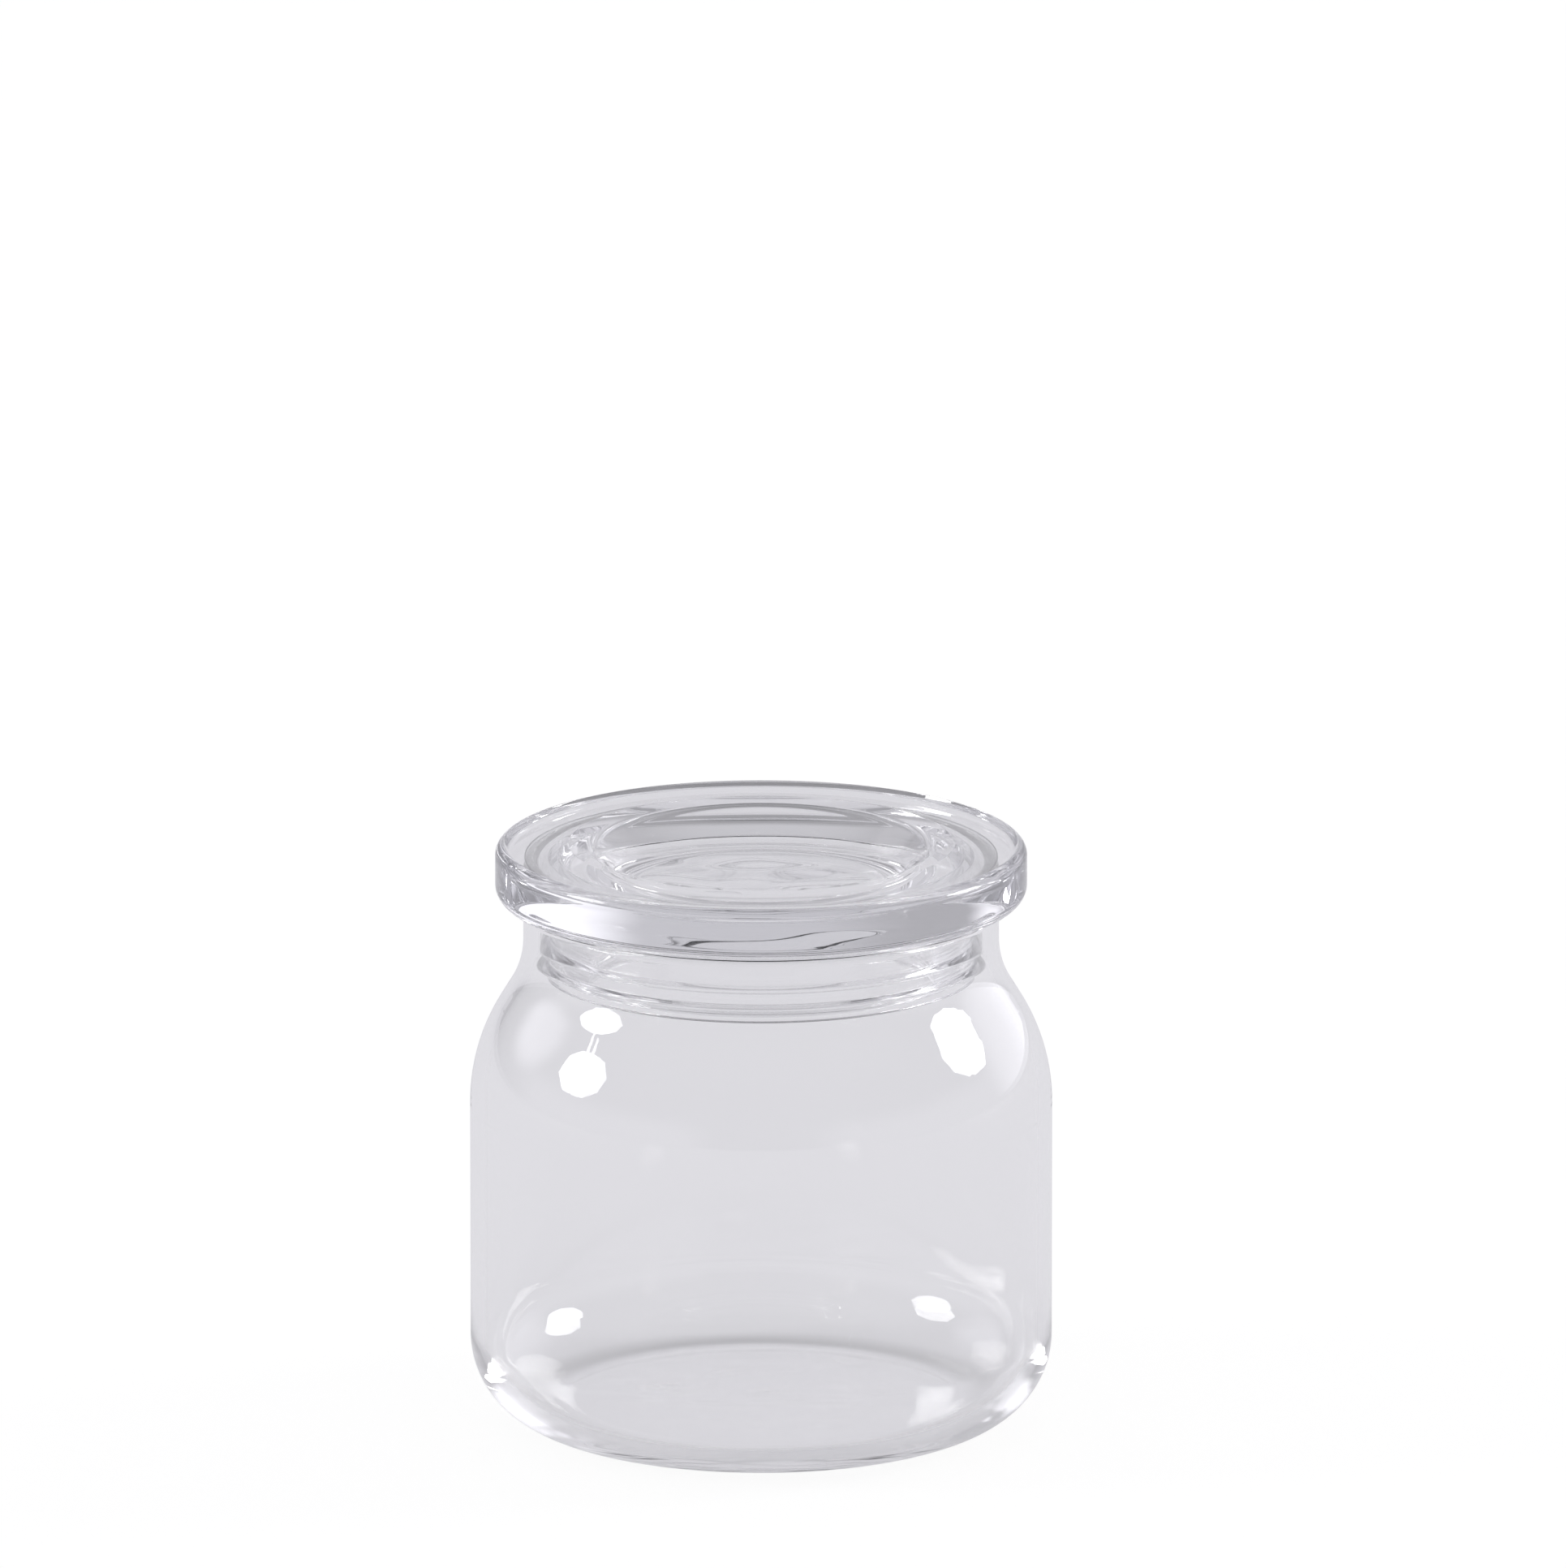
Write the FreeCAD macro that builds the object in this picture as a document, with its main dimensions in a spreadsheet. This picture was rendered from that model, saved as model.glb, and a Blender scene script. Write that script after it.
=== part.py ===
"""Glass kitchen jar with a pressed glass lid, sealed in the jar's neck by a clear plastic ring.

Millimetres, +Z up. The origin is the centre of the jar's foot, on the surface it stands on.
Three bodies, each one turned round the Z axis:
  jar   blown glass: pushed-up base, large foot blend, straight wall, soft shoulder, neck, rolled lip
  lid   pressed glass: thick flange with a dished well on top and a hollow skirt underneath
  seal  ring with a flat flange on the lip, a sleeve round the skirt and fins against the neck
"""
import FreeCAD, Part
import math
import os
import Sketcher

# Driving sizes: name, value in millimetres (or a count), meaning.
SIZES = [
    # the jar
    ("body_radius", 50.0, "outside of the jar's straight wall"),
    ("jar_height", 91.1, "foot to lip"),
    ("neck_radius", 40.8, "outside of the neck"),
    ("neck_height", 10.6, "lip down to where neck and shoulder slope would meet"),
    ("shoulder_drop", 15.0, "height between the two ends of the shoulder slope"),
    ("foot_blend", 15.0, "outside radius between base and wall"),
    ("shoulder_blend", 33.4, "outside radius between wall and shoulder slope"),
    ("neck_blend", 16.3, "outside radius between shoulder slope and neck"),
    ("wall", 2.5, "glass thickness of wall and shoulder"),
    ("lip_wall", 2.7, "glass thickness of neck and lip"),
    ("lip_round", 1.2, "radius that rolls the lip's two edges"),
    ("floor_thickness", 3.4, "glass under the inside corner of the floor"),
    ("floor_blend", 12.3, "inside radius between floor and wall"),
    ("floor_dome", 0.8, "rise of the inside floor at its centre"),
    ("push_up", 1.0, "rise of the base's hollow above the foot ring"),
    ("base_step", 0.5, "height and width of the step inside the foot ring"),
    ("base_round", 0.8, "radius on both edges of that step"),
    ("foot_ring_width", 2.5, "flat ring that the jar stands on"),
    # the lid
    ("lid_overhang", 4.8, "flange beyond the neck"),
    ("lid_thickness", 9.6, "flange, top to underside"),
    ("lid_top_round", 2.0, "radius on the flange's top edge"),
    ("lid_under_round", 2.6, "radius on the flange's lower edge"),
    ("rim_width", 15.9, "top between the flange's edge and the well's mouth"),
    ("rim_dish", 0.7, "fall of the top into the well's mouth"),
    ("rim_dish_width", 3.3, "ring round the mouth over which the top falls"),
    ("rim_dish_round", 4.0, "radius where that fall begins"),
    ("well_depth", 6.7, "flat top down to the well's floor"),
    ("well_slope", 6.2, "how much smaller the floor's radius is than the well's mouth"),
    ("well_rim_round", 3.0, "radius at the well's mouth"),
    ("well_floor_round", 6.0, "radius between the well's wall and floor"),
    ("plate_thickness", 5.0, "glass between the well and the hollow below it"),
    ("plug_depth", 12.5, "flange underside down to the skirt's end"),
    ("skirt_wall", 5.2, "glass thickness of the skirt at its end"),
    ("skirt_draft", 0.8, "how much the hollow narrows towards its top"),
    ("skirt_round", 1.2, "radius on the skirt's two lower edges"),
    ("hollow_round", 3.0, "radius at the top of the hollow"),
    # the seal
    ("seal_flange", 1.0, "thickness of the flange between lip and lid"),
    ("seal_inset", 0.2, "how far the flange stays inside the lip's outside"),
    ("seal_play", 0.1, "gap between skirt and sleeve"),
    ("sleeve_wall", 1.8, "thickness of the sleeve"),
    ("sleeve_overlap", 0.4, "sleeve beyond the skirt's end"),
    ("fin_reach", 1.7, "fin tip beyond the sleeve"),
    ("fin_clearance", 0.1, "gap between fin tip and neck"),
    ("fin_root", 1.5, "fin thickness at the sleeve"),
    ("fin_tip", 0.5, "fin thickness at its tip"),
    ("fin_height", 2.8, "sleeve's end up to the middle of the lowest fin"),
    ("fin_pitch", 3.4, "from one fin to the next"),
    ("fin_count", 2, "number of fins"),
]

# Worked out on the sheet from the sizes above: name, formula, meaning.
DERIVED = [
    ("slope", "=atan((body_radius - neck_radius) / shoulder_drop)",
     "lean of the shoulder slope from upright"),
    ("blend_room", "=shoulder_drop / cos(slope) / tan(slope / 2)",
     "largest sum of the two blend radii that the slope has room for"),
    ("blend_share", "=min(1; 0.98 * blend_room / (shoulder_blend + neck_blend))",
     "share of the two blends that fits on the slope"),
    ("shoulder_outside", "=shoulder_blend * blend_share", "shoulder radius as built"),
    ("neck_outside", "=neck_blend * blend_share", "neck radius as built"),
    ("shoulder_inside", "=shoulder_outside - wall", "the glass keeps its thickness inside"),
    ("neck_inside", "=neck_outside + lip_wall", "the glass keeps its thickness inside"),
    ("lip_edge", "=min(lip_round; 0.45 * lip_wall)", "lip rounding, limited by the wall"),
    ("step_edge", "=min(base_round; 1.65 * base_step)", "base rounding, limited by the step"),
]

# Radii and heights that several pieces share, as expressions on the sheet.
BORE = "(Sizes.neck_radius - Sizes.lip_wall)"
SLEEVE = f"({BORE} - Sizes.fin_clearance - Sizes.fin_reach)"
SLEEVE_INSIDE = f"({SLEEVE} - Sizes.sleeve_wall)"
PLUG = f"({SLEEVE_INSIDE} - Sizes.seal_play)"
FLANGE = "(Sizes.neck_radius + Sizes.lid_overhang)"
WELL = f"({FLANGE} - Sizes.rim_width)"
HOLLOW = f"({PLUG} - Sizes.skirt_wall)"
LID_UNDERSIDE = "(Sizes.jar_height + Sizes.seal_flange)"
LID_TOP = f"({LID_UNDERSIDE} + Sizes.lid_thickness)"
WELL_FLOOR = f"({LID_TOP} - Sizes.well_depth)"
SKIRT_END = f"({LID_UNDERSIDE} - Sizes.plug_depth)"
SLEEVE_END = f"({SKIRT_END} - Sizes.sleeve_overlap)"
NECK_CORNER = "(Sizes.jar_height - Sizes.neck_height)"
SHOULDER_CORNER = f"({NECK_CORNER} - Sizes.shoulder_drop)"

AXIS = "0"
ORIGIN = -1
ACROSS = -1
UPRIGHT = -2
START, END, CENTRE = 1, 2, 3


def make_sheet(doc):
    """The spreadsheet with every driving size and what is worked out from them."""
    sheet = doc.addObject("Spreadsheet::Sheet", "Sizes")
    for row, (name, value, meaning) in enumerate(SIZES + DERIVED, start=1):
        sheet.set(f"A{row}", name)
        sheet.set(f"B{row}", str(value))
        sheet.set(f"C{row}", meaning)
        sheet.setAlias(f"B{row}", name)
    doc.recompute()
    return sheet


def make_body(doc, name):
    body = doc.addObject("PartDesign::Body", name)
    body.Label = name
    return body


def origin_plane(body, role):
    return next(o for o in body.Origin.OriginFeatures if o.Role == role)


def place(sketch, point, index, letter, line, expression):
    """Holds one coordinate of a point: on an axis where it is zero, else at its expression."""
    if expression == AXIS:
        sketch.addConstraint(Sketcher.Constraint("PointOnObject", point, START, line))
        return
    kind = {"x": "DistanceX", "y": "DistanceY"}[letter]
    held = sketch.addConstraint(Sketcher.Constraint(kind, ORIGIN, START, point, START, 1.0))
    label = f"{letter}{index}"
    sketch.renameConstraint(held, label)
    sketch.setExpression(f"Constraints.{label}", expression)


def dome_centre(a, b):
    """The point on the turning axis that is as far from a as from b."""
    return FreeCAD.Vector(0, (b.x**2 - a.x**2 + b.y**2 - a.y**2) / (2 * (b.y - a.y)), 0)


def add_arc(sketch, centre, start, end):
    """The shorter arc from start to end, as (geometry, number of its start, number of its end)."""
    middle = ((start - centre) + (end - centre)).normalize() * start.distanceToPoint(centre)
    arc = sketch.addGeometry(Part.Arc(start, centre + middle, end))
    same_way = sketch.getPoint(arc, START).distanceToPoint(start) < 1e-6
    return (arc, START, END) if same_way else (arc, END, START)


def add_line(sketch, start, end):
    return sketch.addGeometry(Part.LineSegment(start, end)), START, END


def rounding_between_lines(before, corner, after, radius):
    """Centre of the rounding, and where it meets the line before and the line after the corner."""
    back, on = (before - corner).normalize(), (after - corner).normalize()
    half = back.getAngle(on) / 2
    centre = corner + (back + on).normalize() * (radius / math.sin(half))
    return centre, corner + back * (radius / math.tan(half)), corner + on * (radius / math.tan(half))


def rounding_on_dome(hub, corner, radius):
    """The same for a dome round hub that meets an upright line at the corner."""
    dome = corner.distanceToPoint(hub)
    inward = corner.x - radius
    centre = FreeCAD.Vector(inward, hub.y + math.sqrt((dome + radius) ** 2 - inward**2), 0)
    return centre, hub + (centre - hub).normalize() * dome, FreeCAD.Vector(corner.x, centre.y, 0)


def draw_profile(body, name, corners, domed=()):
    """A closed profile on the body's XZ plane.

    Each corner is (radius, height) as expressions, or (radius, height, size) where the named
    size on the sheet rounds it. The edge after a corner listed in domed is an arc centred on the
    axis, and an upright line follows it where its far end is rounded. The rest are straight.
    """
    sketch = body.newObject("Sketcher::SketchObject", name)
    sketch.AttachmentSupport = [(origin_plane(body, "XZ_Plane"), "")]
    sketch.MapMode = "FlatFace"
    points = []
    for index, (radius, height, *_) in enumerate(corners):
        point = sketch.addGeometry(Part.Point(FreeCAD.Vector(1, 1, 0)), True)
        place(sketch, point, index, "x", UPRIGHT, radius)
        place(sketch, point, index, "y", ACROSS, height)
        points.append(point)
    body.Document.recompute()

    # The corners are solved now, so every edge starts out in its true place.
    count = len(corners)
    at = [sketch.getPoint(point, START) for point in points]
    after = [(i + 1) % count for i in range(count)]
    hubs = {i: dome_centre(at[i], at[after[i]]) for i in domed}
    sheet = body.Document.getObject("Sizes")
    roundings = {}
    for i, corner in enumerate(corners):
        if len(corner) > 2:
            radius = float(sheet.get(corner[2]))
            roundings[i] = (rounding_on_dome(hubs[i - 1], at[i], radius) if i - 1 in domed
                            else rounding_between_lines(at[i - 1], at[i], at[after[i]], radius))

    edges = []
    for i in range(count):
        start = roundings[i][2] if i in roundings else at[i]
        end = roundings[after[i]][1] if after[i] in roundings else at[after[i]]
        edge = add_arc(sketch, hubs[i], start, end) if i in domed else add_line(sketch, start, end)
        if i in domed:
            sketch.addConstraint(Sketcher.Constraint("PointOnObject", edge[0], CENTRE, UPRIGHT))
        for corner, edge_end in ((i, edge[1]), (after[i], edge[2])):
            if corner in roundings:
                held = Sketcher.Constraint("PointOnObject", points[corner], START, edge[0])
            else:
                held = Sketcher.Constraint("Coincident", edge[0], edge_end, points[corner], START)
            sketch.addConstraint(held)
        edges.append(edge)
    for i, (centre, start, end) in roundings.items():
        arc, at_start, at_end = add_arc(sketch, centre, start, end)
        before, following = edges[i - 1], edges[i]
        sketch.addConstraint(Sketcher.Constraint("Tangent", before[0], before[2], arc, at_start))
        sketch.addConstraint(Sketcher.Constraint("Tangent", following[0], following[1], arc, at_end))
        radius = Sketcher.Constraint("Radius", arc, centre.distanceToPoint(start))
        sketch.renameConstraint(sketch.addConstraint(radius), f"round{i}")
        sketch.setExpression(f"Constraints.round{i}", f"Sizes.{corners[i][2]}")
    body.Document.recompute()
    return sketch


def turn(body, kind, name, sketch):
    """A full turn of the profile round the Z axis: Revolution adds glass, Groove removes it."""
    feature = body.newObject(f"PartDesign::{kind}", name)
    feature.Profile = sketch
    feature.ReferenceAxis = (sketch, ["V_Axis"])
    feature.Angle = 360.0
    body.Document.recompute()
    return feature


def ring_at(shape, corner):
    """Name of the shape's round edge that passes nearest to a profile's corner."""

    def distance(index):
        edge = shape.Edges[index]
        if edge.Degenerated or not isinstance(edge.Curve, Part.Circle):
            return float("inf")
        return abs(edge.Curve.Radius - corner.x) + abs(edge.Curve.Center.z - corner.y)

    nearest = min(range(len(shape.Edges)), key=distance)
    return f"Edge{nearest + 1}"


def round_off(body, name, radius, *corners):
    """A fillet on the round edges that the given (sketch, corner number) pairs turned into."""
    base = body.Tip
    fillet = body.newObject("PartDesign::Fillet", name)
    rings = [ring_at(base.Shape, sketch.getPoint(corner, START)) for sketch, corner in corners]
    fillet.Base = (base, rings)
    fillet.setExpression("Radius", radius)
    body.Document.recompute()


def make_jar(doc):
    body = make_body(doc, "jar")
    outside = draw_profile(body, "outside", [
        (AXIS, AXIS),
        ("Sizes.body_radius", AXIS, "foot_blend"),
        ("Sizes.body_radius", SHOULDER_CORNER, "shoulder_outside"),
        ("Sizes.neck_radius", NECK_CORNER, "neck_outside"),
        ("Sizes.neck_radius", "Sizes.jar_height"),
        (AXIS, "Sizes.jar_height"),
    ])
    turn(body, "Revolution", "gather", outside)

    # The inside follows the outside at the wall's thickness, measured square to the slope.
    inner_wall = "(Sizes.body_radius - Sizes.wall)"
    slope_inside = "Sizes.wall * tan(Sizes.slope / 2)"
    extra = "(Sizes.lip_wall - Sizes.wall) / tan(Sizes.slope)"
    inside = draw_profile(body, "inside", [
        (AXIS, "Sizes.floor_thickness + Sizes.floor_dome"),
        (inner_wall, "Sizes.floor_thickness", "floor_blend"),
        (inner_wall, f"{SHOULDER_CORNER} - {slope_inside}", "shoulder_inside"),
        (BORE, f"{NECK_CORNER} - {slope_inside} + {extra}", "neck_inside"),
        (BORE, "Sizes.jar_height"),
        (AXIS, "Sizes.jar_height"),
    ], domed=[0])
    turn(body, "Groove", "blown_hollow", inside)

    foot_ring = "(Sizes.body_radius - Sizes.foot_blend - Sizes.foot_ring_width)"
    base = draw_profile(body, "base_hollow", [
        (AXIS, AXIS),
        (foot_ring, AXIS),
        (f"{foot_ring} - Sizes.base_step", "Sizes.base_step"),
        (AXIS, "Sizes.push_up"),
    ], domed=[2])
    turn(body, "Groove", "pushed_up_base", base)

    round_off(body, "base_step_edges", "Sizes.step_edge", (base, 1), (base, 2))
    round_off(body, "lip", "Sizes.lip_edge", (outside, 4), (inside, 4))
    return body


def make_lid(doc):
    body = make_body(doc, "lid")
    blank = draw_profile(body, "blank", [
        (AXIS, SKIRT_END),
        (PLUG, SKIRT_END),
        (PLUG, LID_UNDERSIDE),
        (FLANGE, LID_UNDERSIDE),
        (FLANGE, LID_TOP),
        (AXIS, LID_TOP),
    ])
    turn(body, "Revolution", "pressing", blank)

    mouth = f"({WELL} - Sizes.well_slope * Sizes.rim_dish / Sizes.well_depth)"
    well = draw_profile(body, "well", [
        (AXIS, WELL_FLOOR),
        (f"{WELL} - Sizes.well_slope", WELL_FLOOR, "well_floor_round"),
        (mouth, f"{LID_TOP} - Sizes.rim_dish", "well_rim_round"),
        (f"{WELL} + Sizes.rim_dish_width", LID_TOP),
        (AXIS, LID_TOP),
    ])
    turn(body, "Groove", "dished_well", well)

    hollow_top = f"({WELL_FLOOR} - Sizes.plate_thickness)"
    hollow = draw_profile(body, "hollow", [
        (AXIS, SKIRT_END),
        (HOLLOW, SKIRT_END),
        (f"{HOLLOW} - Sizes.skirt_draft", hollow_top, "hollow_round"),
        (AXIS, hollow_top),
    ])
    turn(body, "Groove", "skirt_hollow", hollow)

    round_off(body, "top_edge", "Sizes.lid_top_round", (blank, 4))
    round_off(body, "lower_edge", "Sizes.lid_under_round", (blank, 3))
    round_off(body, "dish_edge", "Sizes.rim_dish_round", (well, 3))
    round_off(body, "skirt_edges", "Sizes.skirt_round", (blank, 1), (hollow, 1))
    return body


def make_seal(doc):
    body = make_body(doc, "seal")
    seal_edge = "Sizes.neck_radius - Sizes.seal_inset"
    section = draw_profile(body, "section", [
        (SLEEVE_INSIDE, SLEEVE_END),
        (SLEEVE, SLEEVE_END),
        (SLEEVE, "Sizes.jar_height"),
        (seal_edge, "Sizes.jar_height"),
        (seal_edge, LID_UNDERSIDE),
        (SLEEVE_INSIDE, LID_UNDERSIDE),
    ])
    turn(body, "Revolution", "flanged_sleeve", section)

    # A fin tapers from its root in the sleeve to its tip, so the root reaches into the wall.
    middle = f"{SLEEVE_END} + Sizes.fin_height"
    tip = f"({SLEEVE} + Sizes.fin_reach)"
    rooted = f"({SLEEVE} - Sizes.sleeve_wall / 2)"
    fin = draw_profile(body, "fin", [
        (rooted, f"{middle} - Sizes.fin_root / 2"),
        (tip, f"{middle} - Sizes.fin_tip / 2"),
        (tip, f"{middle} + Sizes.fin_tip / 2"),
        (rooted, f"{middle} + Sizes.fin_root / 2"),
    ])
    lowest = turn(body, "Revolution", "lowest_fin", fin)

    fins = body.newObject("PartDesign::LinearPattern", "fins")
    fins.Originals = [lowest]
    fins.Direction = (fin, ["V_Axis"])
    fins.setExpression("Length", "Sizes.fin_pitch * (Sizes.fin_count - 1)")
    fins.setExpression("Occurrences", "Sizes.fin_count")
    body.Tip = fins
    doc.recompute()
    return body


def check(doc, bodies):
    """Stops on any failed feature, and on any body that isn't one valid solid."""
    for item in doc.Objects:
        if "Invalid" in item.State or "Error" in item.State:
            raise SystemExit(f"{item.Name} failed: {item.State}")
    for body in bodies:
        shape = body.Shape
        if shape.isNull() or not shape.isValid() or len(shape.Solids) != 1:
            raise SystemExit(f"{body.Label} isn't one valid solid")
        top = max(vertex.Z for vertex in shape.Vertexes)
        print(f"{body.Label}: {shape.Volume / 1000:.1f} cm3, top {top:.2f}")


def main():
    doc = FreeCAD.newDocument("kitchen_jar")
    make_sheet(doc)
    bodies = [make_jar(doc), make_lid(doc), make_seal(doc)]
    doc.recompute()
    check(doc, bodies)
    os.makedirs("parts", exist_ok=True)
    for body in bodies:
        body.Shape.exportStep(os.path.join("parts", f"{body.Label}.step"))


main()
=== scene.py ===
import math

import bpy
from mathutils import Matrix, Vector, noise


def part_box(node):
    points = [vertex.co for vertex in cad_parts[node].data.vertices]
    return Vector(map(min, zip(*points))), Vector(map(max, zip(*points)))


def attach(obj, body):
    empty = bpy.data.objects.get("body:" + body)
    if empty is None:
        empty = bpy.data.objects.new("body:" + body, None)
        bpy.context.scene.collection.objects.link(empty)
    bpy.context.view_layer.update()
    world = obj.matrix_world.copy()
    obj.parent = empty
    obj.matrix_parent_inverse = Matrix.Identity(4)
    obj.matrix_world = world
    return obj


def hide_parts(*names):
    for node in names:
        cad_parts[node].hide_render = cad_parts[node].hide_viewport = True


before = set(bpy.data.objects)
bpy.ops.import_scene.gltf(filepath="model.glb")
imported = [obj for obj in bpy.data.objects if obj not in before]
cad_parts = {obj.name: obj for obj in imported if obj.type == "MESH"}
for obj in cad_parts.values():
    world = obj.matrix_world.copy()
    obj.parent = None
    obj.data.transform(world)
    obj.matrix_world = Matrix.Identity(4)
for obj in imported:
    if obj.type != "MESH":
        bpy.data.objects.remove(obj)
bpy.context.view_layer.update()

MM = 0.001
FLAT_RUN = 0.12   # mm of flat face kept beside each arc, so that shading doesn't bend the face


# ---------------------------------------------------------------- profiles

def node_size(node):
    """Radius, lowest height and highest height of a CAD node, in millimetres."""
    low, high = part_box(node)
    return high.x / MM, low.z / MM, high.z / MM


def rounded(corners, closed=False, step=math.radians(4)):
    """The polyline through (radius, height, rounding) corners, with an arc in place of each
    rounded corner. A point just outside both ends of an arc keeps the straight runs flat."""
    line = []
    count = len(corners)
    for i, (r, z, rounding) in enumerate(corners):
        corner = Vector((r, z))
        if not rounding or (not closed and i in (0, count - 1)):
            line.append(corner)
            continue
        before = (Vector(corners[i - 1][:2]) - corner).normalized()
        after = (Vector(corners[(i + 1) % count][:2]) - corner).normalized()
        half = before.angle(after) / 2
        reach = rounding / math.tan(half)
        centre = corner + (before + after).normalized() * rounding / math.sin(half)
        spoke = corner + before * reach - centre
        sweep = (corner + after * reach - centre).angle_signed(spoke)
        steps = max(8, math.ceil(abs(sweep) / step))
        line.append(corner + before * (reach + FLAT_RUN))
        line += [centre + Matrix.Rotation(sweep * k / steps, 2) @ spoke for k in range(steps + 1)]
        line.append(corner + after * (reach + FLAT_RUN))
    return line


def divided(line, longest):
    """The same polyline with no run longer than the given length."""
    out = [line[0]]
    for point in line[1:]:
        start, run = out[-1], point - out[-1]
        if run.length < 1e-4:
            continue
        parts = math.ceil(run.length / longest)
        out += [start + run * k / parts for k in range(1, parts + 1)]
    return out


def domed(inner, outer, low, high, parts=24):
    """Points from radius inner to radius outer on a shallow bulge, high at the axis."""
    span = max(inner, outer)
    radii = [inner + (outer - inner) * k / parts for k in range(parts + 1)]
    return [Vector((r, low + (high - low) * (0.5 + 0.5 * math.cos(math.pi * r / span))))
            for r in radii]


# ---------------------------------------------------------------- meshes

def turned(name, line, segments, closed=False, uneven=None):
    """A piece turned round the Z axis. uneven(x, y, z) gives how far a point really lies from
    its true place, in millimetres."""
    area = sum(a.x * b.y - b.x * a.y for a, b in zip(line, line[1:] + line[:1]))
    if area < 0:   # every profile runs the same way round, so that its faces look outwards
        line = line[::-1]
    points, rings = [], []
    for r, z in line:
        count = 1 if r < 1e-6 else segments
        rings.append(range(len(points), len(points) + count))
        for k in range(count):
            turn = 2 * math.pi * k / segments
            point = Vector((r * math.cos(turn), r * math.sin(turn), z))
            points.append(point + uneven(*point) if uneven else point)
    faces = []
    pairs = list(zip(rings, rings[1:])) + ([(rings[-1], rings[0])] if closed else [])
    for low, high in pairs:
        for k in range(segments):
            n = (k + 1) % segments
            if len(low) == 1:
                faces.append((low[0], high[n], high[k]))
            elif len(high) == 1:
                faces.append((low[k], low[n], high[0]))
            else:
                faces.append((low[k], low[n], high[n], high[k]))
    mesh = bpy.data.meshes.new(name)
    mesh.from_pydata([p * MM for p in points], [], faces)
    mesh.shade_smooth()
    piece = bpy.data.objects.new(name, mesh)
    bpy.context.scene.collection.objects.link(piece)
    return piece


JAR_RADIUS, _, LIP = node_size("jar")
LID_RADIUS, PLUG_END, LID_TOP = node_size("lid")
SEAL_RADIUS, SLEEVE_END, _ = node_size("seal")

# The jar
NECK_RADIUS = 40.8
NECK_CORNER = LIP - 10.6
SHOULDER_CORNER = NECK_CORNER - 15.0
FOOT_BLEND, SHOULDER_BLEND, NECK_BLEND = 15.0, 33.4, 16.3
WALL, LIP_WALL, LIP_ROUND = 2.5, 2.7, 1.2
FLOOR, FLOOR_DOME, FLOOR_BLEND = 3.4, 0.8, 12.3
PUSH_UP = 0.5      # rise of the base's hollow
BLEND_END = 0.5    # flat run between a blend's end and the bulge inside it

# The lid
FLANGE_UNDERSIDE = LIP + 1.0
TOP_ROUND, UNDER_ROUND = 2.0, 2.6
DISH_RADIUS, DISH_ROUND = 33.0, 1.0
MOUTH_RADIUS, MOUTH, MOUTH_ROUND = 29.1, LID_TOP - 0.7, 3.0
WELL_RADIUS, WELL_FLOOR, WELL_ROUND = 23.5, LID_TOP - 6.7, 6.0
PLUG_RADIUS, PLUG_TAPER = 34.4, 0.3
HOLLOW_RADIUS, HOLLOW_TAPER, HOLLOW_ROUND = 29.1, 0.8, 3.0
HOLLOW_TOP = WELL_FLOOR - 5.0

# The seal
SLEEVE_RADIUS, SLEEVE_PLAY = 36.3, 0.1
FIN_RADIUS, FIN_ROOT, FIN_TIP = 38.0, 1.4, 0.5
FIN_HEIGHTS = 2.8, 6.2   # the sleeve's end up to the middle of each fin
AIR = 0.05               # film of air between two touching faces, so that no two faces coincide


def jar_line():
    slope = math.atan2(JAR_RADIUS - NECK_RADIUS, NECK_CORNER - SHOULDER_CORNER)
    drop = WALL * math.tan(slope / 2)
    extra = (LIP_WALL - WALL) / math.tan(slope)
    bore, hollow = NECK_RADIUS - LIP_WALL, JAR_RADIUS - WALL
    foot_ring = JAR_RADIUS - FOOT_BLEND - BLEND_END
    floor_edge = hollow - FLOOR_BLEND - BLEND_END
    base = domed(0, foot_ring, 0, PUSH_UP)
    walls = rounded([
        (foot_ring, 0, 0),
        (JAR_RADIUS, 0, FOOT_BLEND),
        (JAR_RADIUS, SHOULDER_CORNER, SHOULDER_BLEND),
        (NECK_RADIUS, NECK_CORNER, NECK_BLEND),
        (NECK_RADIUS, LIP, LIP_ROUND),
        (bore, LIP, LIP_ROUND),
        (bore, NECK_CORNER - drop + extra, NECK_BLEND + LIP_WALL),
        (hollow, SHOULDER_CORNER - drop, SHOULDER_BLEND - WALL),
        (hollow, FLOOR, FLOOR_BLEND),
        (floor_edge, FLOOR, 0),
    ], step=math.radians(2.5))
    floor = domed(floor_edge, 0, FLOOR, FLOOR + FLOOR_DOME)
    return divided(base + walls[1:-1] + floor, 1.5)


def lid_line():
    corners = [
        (0, WELL_FLOOR, 0),
        (WELL_RADIUS, WELL_FLOOR, WELL_ROUND),
        (MOUTH_RADIUS, MOUTH, MOUTH_ROUND),
        (DISH_RADIUS, LID_TOP, DISH_ROUND),
        (LID_RADIUS, LID_TOP, TOP_ROUND),
        (LID_RADIUS, FLANGE_UNDERSIDE, UNDER_ROUND),
        (PLUG_RADIUS, FLANGE_UNDERSIDE, 0.6),
        (PLUG_RADIUS - PLUG_TAPER, PLUG_END, 1.5),
        (HOLLOW_RADIUS, PLUG_END, 1.2),
        (HOLLOW_RADIUS - HOLLOW_TAPER, HOLLOW_TOP, HOLLOW_ROUND),
        (0, HOLLOW_TOP, 0),
    ]
    return divided(rounded(corners), 1.0)


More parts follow.
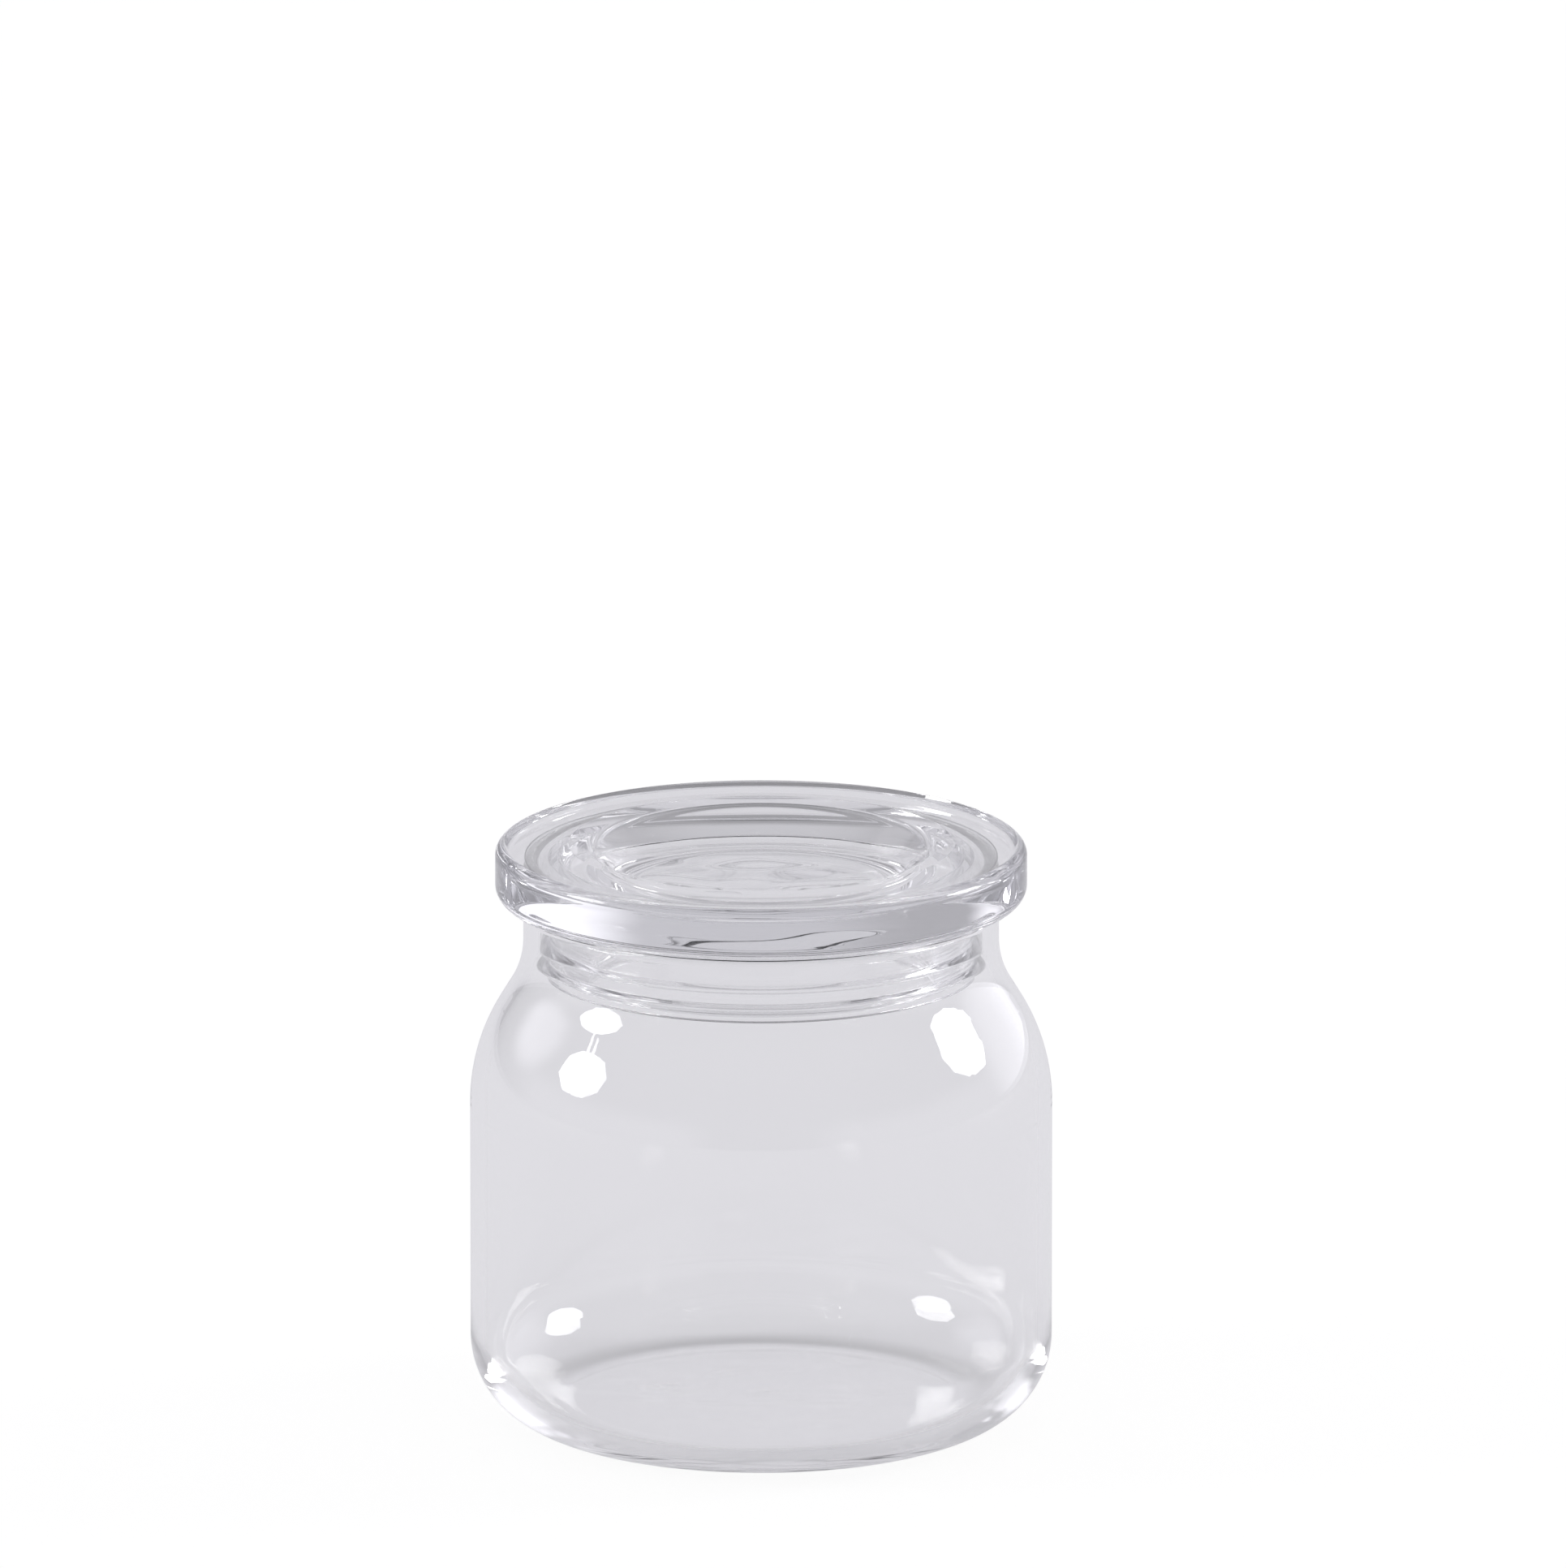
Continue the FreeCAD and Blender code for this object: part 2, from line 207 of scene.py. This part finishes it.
def seal_line():
    inside, outside = PLUG_RADIUS + SLEEVE_PLAY, SLEEVE_RADIUS
    top, bottom = FLANGE_UNDERSIDE - AIR, LIP + AIR
    corners = [(inside, SLEEVE_END, 0.3), (outside, SLEEVE_END, 0.3)]
    for height in FIN_HEIGHTS:
        middle = SLEEVE_END + height
        corners += [(outside, middle - FIN_ROOT / 2, 0.2), (FIN_RADIUS, middle - FIN_TIP / 2, 0.15),
                    (FIN_RADIUS, middle + FIN_TIP / 2, 0.15), (outside, middle + FIN_ROOT / 2, 0.2)]
    corners += [(outside, bottom, 0.3), (SEAL_RADIUS, bottom, 0.2), (SEAL_RADIUS, top, 0.2),
                (inside, top, 0.2)]
    return divided(rounded(corners, closed=True), 1.5)


def waves(x, y, z, depth, length, reach):
    """An uneven height in a flat face, which dies away towards the radius it reaches to."""
    fade = max(0.0, 1 - (math.hypot(x, y) / reach) ** 4)
    return Vector((0, 0, depth * fade * noise.noise(Vector((x, y, z)) / length)))


def floor_waves(x, y, z):
    """The jar's floor is never quite flat, inside more than underneath."""
    if z > FLOOR + FLOOR_DOME + 1:
        return Vector()
    return waves(x, y, 9 * z, depth=0.3 if z > PUSH_UP + 1 else 0.08, length=11, reach=36)


def plate_waves(x, y, z):
    """Pressing leaves soft waves in the plate between the lid's well and its hollow."""
    return waves(x, y, 5 * z, depth=0.35, length=15, reach=28)


# The segments keep each piece under 200,000 triangles.
jar = turned("glass_jar", jar_line(), 288, uneven=floor_waves)
lid = turned("glass_lid", lid_line(), 320, uneven=plate_waves)
seal = turned("clear_seal", seal_line(), 256, closed=True)


# ---------------------------------------------------------------- materials

WHITE = (1, 1, 1, 1)
GLASS_TINT = (0.8, 0.8, 0.82, 1)       # what thick glass fades towards
# Painted shade: a near-black colour for the seal's rim and lower end, standing in for the dark
# lines that shade makes there.
PAINTED_SHADE_TINT = (0.08, 0.08, 0.08, 1)
RIPPLE = 0.00001                       # height of the ripples in a surface, in metres
SMEARS_PER_METRE = 60
SMEARED = 0.45, 0.8                    # where in the smears' noise the haze begins and is whole


def material(name):
    made = bpy.data.materials.new(name)
    made.use_nodes = True
    return made, made.node_tree.nodes, made.node_tree.links


def clear(name, ior, absorption, ripple_size, haze, colour=WHITE):
    """Clear glass or plastic: faint ripples in the surface, a trace of haze, and a tint that
    grows with depth. The ripple size is in metres, and haze is the least and most roughness."""
    made, nodes, links = material(name)
    shader = nodes["Principled BSDF"]
    shader.inputs["Base Color"].default_value = colour
    shader.inputs["Transmission Weight"].default_value = 1
    shader.inputs["IOR"].default_value = ior
    place = nodes.new("ShaderNodeTexCoord")
    ripples = nodes.new("ShaderNodeTexNoise")
    ripples.inputs["Scale"].default_value = 1 / ripple_size
    ripples.inputs["Detail"].default_value = 1.0
    links.new(place.outputs["Object"], ripples.inputs["Vector"])
    bump = nodes.new("ShaderNodeBump")
    bump.inputs["Distance"].default_value = RIPPLE
    links.new(ripples.outputs["Fac"], bump.inputs["Height"])
    links.new(bump.outputs["Normal"], shader.inputs["Normal"])
    smears = nodes.new("ShaderNodeTexNoise")
    smears.inputs["Scale"].default_value = SMEARS_PER_METRE
    links.new(place.outputs["Object"], smears.inputs["Vector"])
    gloss = nodes.new("ShaderNodeMapRange")
    for key, number in zip(("From Min", "From Max", "To Min", "To Max"), (*SMEARED, *haze)):
        gloss.inputs[key].default_value = number
    links.new(smears.outputs["Fac"], gloss.inputs["Value"])
    links.new(gloss.outputs["Result"], shader.inputs["Roughness"])
    depth = nodes.new("ShaderNodeVolumeAbsorption")
    depth.inputs["Color"].default_value = GLASS_TINT
    depth.inputs["Density"].default_value = absorption
    links.new(depth.outputs["Volume"], nodes["Material Output"].inputs["Volume"])
    return made


jar.data.materials.append(clear("jar_glass", 1.5, 0.5, 0.03, (0.0, 0.01)))
lid.data.materials.append(clear("lid_glass", 1.5, 12.0, 0.02, (0.0, 0.01)))
seal.data.materials.append(clear("seal_plastic", 1.45, 50.0, 0.01, (0.02, 0.08)))
seal.data.materials.append(
    clear("seal_painted_shade_edge", 1.45, 50.0, 0.01, (0.05, 0.15), PAINTED_SHADE_TINT))

# Painted shade: the seal's outer rim and the outside of its lower end are made nearly black, for
# the dark lines that the lip's shade and refraction make at these edges.
for face in seal.data.polygons:
    radius, height = math.hypot(*face.center.xy) / MM, face.center.z / MM
    at_rim = radius > SEAL_RADIUS - 0.25
    at_end = height < SLEEVE_END + 0.12 and radius > SLEEVE_RADIUS - 0.3
    if at_rim or at_end:
        face.material_index = 1

for piece, node, slot in ((jar, "jar", "jar_glass"), (lid, "lid", "lid_glass"),
                          (seal, "seal", "seal_plastic")):
    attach(piece, "root")
    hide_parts(node)


# ---------------------------------------------------------------- studio

# Grey levels of what the glass shows.
TABLE = 0.72       # the table all round
PAINTED_LIGHT_UNDER_JAR = 0.93   # painted light: the table under the jar, brightened for the light that the glass gathers there
PAINTED_SHADE_RING = 0.50        # painted shade: the table round its foot at the back, darkened where the thick corner keeps light from it
BACKDROP = 0.68    # paper standing behind the jar
ROOM = 0.36        # the room in front of it
CEILING = 0.42
OVERHEAD = 0.18    # the dark part of the ceiling right above the jar
WALLS = 0.72       # pale walls low on both sides
LIT_WALL = 1.35    # where the softboxes light the paper's left and right ends
CORNER = 0.50      # the paper's lower left corner, in shade

# Where each part of the room fades in, as x, y or z of the direction that the glass looks in.
WALLS_BESIDE, WALLS_BELOW = (0.30, 0.60), (0.10, 0.32)
BACKDROP_BEHIND = 0.28, 0.42
CEILING_ABOVE, OVERHEAD_ABOVE = (0.52, 0.80), (0.84, 0.95)
# Round patches: the way to the middle, the degrees round it that are whole, the degrees beyond
# which nothing is left, and the level.
PATCHES = [
    ((-0.65, 0.75, 0.08), 14, 36, CORNER),
    ((-0.77, 0.50, 0.40), 8, 19, LIT_WALL),
    ((0.70, 0.68, 0.16), 10, 28, LIT_WALL),
]
AROUND = 0.6            # level of the light that the world gives to the table
PAPER = (0.95, 0.95, 0.95, 1)
PAGE_GLOW = 1.035       # the page is white in the camera, and a tenth of it takes the shadow
PAGE_SHADOW, GREY_SHADOW = 0.10, 0.35
FOOT = (JAR_RADIUS - FOOT_BLEND) * MM
RING_WHOLE, RING_GONE = FOOT + 0.006, FOOT + 0.014   # distances from the jar's axis, where the painted shade ring is whole and where it is gone
SHADE_BEHIND = -0.02, 0.03                           # where the ring's painted shade fades in, along Y
TABLE_SIDE = 8.0

SOFTBOXES = [("softbox_left", -84.5, 22.5, 9.0), ("softbox_right", 104, 24, 9.9)]
SOFTBOX_WIDTH, SOFTBOX_AWAY = 0.86, 2.3
JAR_MIDDLE = Vector((0, 0, 0.06))


def grey(level):
    """A faintly cool grey, as the studio's paper is."""
    return (level, level * 0.99, level * 1.045, 1)


def math_node(tree, operation, first, second):
    node = tree.nodes.new("ShaderNodeMath")
    node.operation = operation
    for socket, value in zip(node.inputs, (first, second)):
        if isinstance(value, (int, float)):
            socket.default_value = value
        else:
            tree.links.new(value, socket)
    return node.outputs[0]


def ramp(tree, value, low, high, first=0.0, last=1.0):
    node = tree.nodes.new("ShaderNodeMapRange")
    node.interpolation_type = "SMOOTHSTEP"
    tree.links.new(value, node.inputs["Value"])
    for key, number in zip(("From Min", "From Max", "To Min", "To Max"), (low, high, first, last)):
        node.inputs[key].default_value = number
    return node.outputs["Result"]


def blend_colour(tree, factor, first, second):
    node = tree.nodes.new("ShaderNodeMix")
    node.data_type = "RGBA"
    tree.links.new(factor, node.inputs["Factor"])
    for key, value in (("A", first), ("B", second)):
        if isinstance(value, tuple):
            node.inputs[key].default_value = value
        else:
            tree.links.new(value, node.inputs[key])
    return node.outputs["Result"]


def patch(tree, direction, colour, aim, full, gone, level):
    """The same colours with a round patch at another level: all of it within one angle of the
    aim, in degrees, and none of it beyond another."""
    dot = tree.nodes.new("ShaderNodeVectorMath")
    dot.operation = "DOT_PRODUCT"
    tree.links.new(direction, dot.inputs[0])
    dot.inputs[1].default_value = Vector(aim).normalized()
    near = ramp(tree, dot.outputs["Value"], math.cos(math.radians(gone)),
                math.cos(math.radians(full)))
    return blend_colour(tree, near, colour, grey(level))


def make_world():
    """A white page behind the object. Glass sees a pale backdrop standing on the table, brighter
    at its ends, and the dimmer room and ceiling."""
    world = bpy.data.worlds.new("studio")
    bpy.context.scene.world = world
    world.use_nodes = True
    tree = world.node_tree
    direction = tree.nodes.new("ShaderNodeTexCoord").outputs["Generated"]
    split = tree.nodes.new("ShaderNodeSeparateXYZ")
    tree.links.new(direction, split.inputs[0])
    x, y, z = split.outputs
    beside = ramp(tree, math_node(tree, "ABSOLUTE", x, 0.0), *WALLS_BESIDE)
    low = ramp(tree, z, *WALLS_BELOW, 1.0, 0.0)
    room = blend_colour(tree, math_node(tree, "MULTIPLY", beside, low), grey(ROOM), grey(WALLS))
    studio = blend_colour(tree, ramp(tree, y, *BACKDROP_BEHIND), room, grey(BACKDROP))
    studio = blend_colour(tree, ramp(tree, z, *CEILING_ABOVE), studio, grey(CEILING))
    studio = blend_colour(tree, ramp(tree, z, *OVERHEAD_ABOVE), studio, grey(OVERHEAD))
    for aim, full, gone, level in PATCHES:
        studio = patch(tree, direction, studio, aim, full, gone, level)
    rays = tree.nodes.new("ShaderNodeLightPath")
    mirrored = math_node(tree, "MAXIMUM", rays.outputs["Is Glossy Ray"],
                         rays.outputs["Is Transmission Ray"])
    lit = blend_colour(tree, mirrored, grey(AROUND), studio)
    seen = blend_colour(tree, rays.outputs["Is Camera Ray"], lit, WHITE)
    tree.links.new(seen, tree.nodes["Background"].inputs["Color"])


def emission(tree, strength=1.0):
    node = tree.nodes.new("ShaderNodeEmission")
    node.inputs["Color"].default_value = WHITE
    node.inputs["Strength"].default_value = strength
    return node.outputs[0]


def blend_shader(tree, factor, first, second):
    """A mix of two shaders. The factor is a number or another node's output."""
    node = tree.nodes.new("ShaderNodeMixShader")
    if isinstance(factor, float):
        node.inputs[0].default_value = factor
    else:
        tree.links.new(factor, node.inputs[0])
    tree.links.new(first, node.inputs[1])
    tree.links.new(second, node.inputs[2])
    return node.outputs[0]


def make_floor():
    """The table: a white page that keeps a faint shadow, and a pale grey one in the glass, with
    painted light under the jar and a painted shade ring round its foot at the back.
    """
    made, nodes, links = material("table_paper")
    tree = made.node_tree
    nodes.remove(nodes["Principled BSDF"])
    paper = nodes.new("ShaderNodeBsdfDiffuse")
    paper.inputs["Color"].default_value = PAPER
    page = blend_shader(tree, PAGE_SHADOW, emission(tree, PAGE_GLOW), paper.outputs[0])
    place = nodes.new("ShaderNodeTexCoord")
    away = nodes.new("ShaderNodeVectorMath")
    away.operation = "LENGTH"
    links.new(place.outputs["Object"], away.inputs[0])
    split = nodes.new("ShaderNodeSeparateXYZ")
    links.new(place.outputs["Object"], split.inputs[0])
    # Painted light and shade on the grey page that the glass shows: brighter under the jar, darker
    # in a ring round the foot at the back.
    shade = blend_colour(tree, ramp(tree, split.outputs["Y"], *SHADE_BEHIND),
                         grey(TABLE), grey(PAINTED_SHADE_RING))
    ring = blend_colour(tree, ramp(tree, away.outputs["Value"], FOOT, RING_WHOLE),
                        grey(PAINTED_LIGHT_UNDER_JAR), shade)
    around = blend_colour(tree, ramp(tree, away.outputs["Value"], RING_WHOLE, RING_GONE),
                          ring, grey(TABLE))
    glow = emission(tree)
    links.new(around, glow.node.inputs["Color"])
    grey_page = blend_shader(tree, GREY_SHADOW, glow, paper.outputs[0])
    rays = nodes.new("ShaderNodeLightPath")
    shown = blend_shader(tree, rays.outputs["Is Camera Ray"], grey_page, page)
    links.new(shown, nodes["Material Output"].inputs["Surface"])
    mesh = bpy.data.meshes.new("table")
    corners = [(-1, -1), (1, -1), (1, 1), (-1, 1)]
    mesh.from_pydata([(x * TABLE_SIDE, y * TABLE_SIDE, 0) for x, y in corners],
                     [], [(0, 1, 2, 3)])
    mesh.materials.append(made)
    table = bpy.data.objects.new("table", mesh)
    table.location.z = -0.1 * MM   # just clear of the jar's foot
    bpy.context.scene.collection.objects.link(table)


def make_softbox(name, azimuth, elevation, strength):
    """An eight-sided softbox that faces the jar. Azimuth is from the camera's side, + right."""
    turn, rise = math.radians(azimuth), math.radians(elevation)
    direction = Vector((math.cos(rise) * math.sin(turn), -math.cos(rise) * math.cos(turn),
                        math.sin(rise)))
    corners = [Matrix.Rotation(math.radians(45 * k + 22.5), 3, "Z")
               @ Vector((SOFTBOX_WIDTH / 2, 0, 0)) for k in range(8)]
    mesh = bpy.data.meshes.new(name)
    mesh.from_pydata(corners, [], [tuple(range(8))])
    made, nodes, links = material(name)
    nodes.remove(nodes["Principled BSDF"])
    links.new(emission(made.node_tree, strength), nodes["Material Output"].inputs["Surface"])
    mesh.materials.append(made)
    box = bpy.data.objects.new(name, mesh)
    box.location = JAR_MIDDLE + direction * SOFTBOX_AWAY
    box.rotation_mode = "QUATERNION"
    box.rotation_quaternion = (-direction).to_track_quat("Z", "Y")
    box.visible_camera = False
    bpy.context.scene.collection.objects.link(box)


make_world()
make_floor()
for softbox in SOFTBOXES:
    make_softbox(*softbox)


# ---------------------------------------------------------------- camera

CAMERA_AIM = Vector((0.00375, 0, 0.11213))   # what shows in the middle of the picture
CAMERA_AWAY, CAMERA_ELEVATION = 5.0, 14.2
LENS, SENSOR = 670.3, 36
BOUNCES = 32   # light crosses many glass faces in the lid and the base


def make_camera():
    """A long lens from 14 degrees above, a little to the right of the jar's axis."""
    camera = bpy.data.objects.new("camera", bpy.data.cameras.new("camera"))
    camera.data.sensor_width = SENSOR
    camera.data.lens = LENS
    camera.data.clip_end = 100
    rise = math.radians(CAMERA_ELEVATION)
    back = Vector((0, -math.cos(rise), math.sin(rise)))
    camera.location = CAMERA_AIM + back * CAMERA_AWAY
    camera.rotation_mode = "QUATERNION"
    camera.rotation_quaternion = (-back).to_track_quat("-Z", "Y")
    bpy.context.scene.collection.objects.link(camera)
    bpy.context.scene.camera = camera


make_camera()
scene = bpy.context.scene
scene.view_settings.view_transform = "Standard"
scene.cycles.max_bounces = BOUNCES
scene.cycles.transmission_bounces = BOUNCES
scene.cycles.glossy_bounces = BOUNCES

bpy.context.view_layer.update()
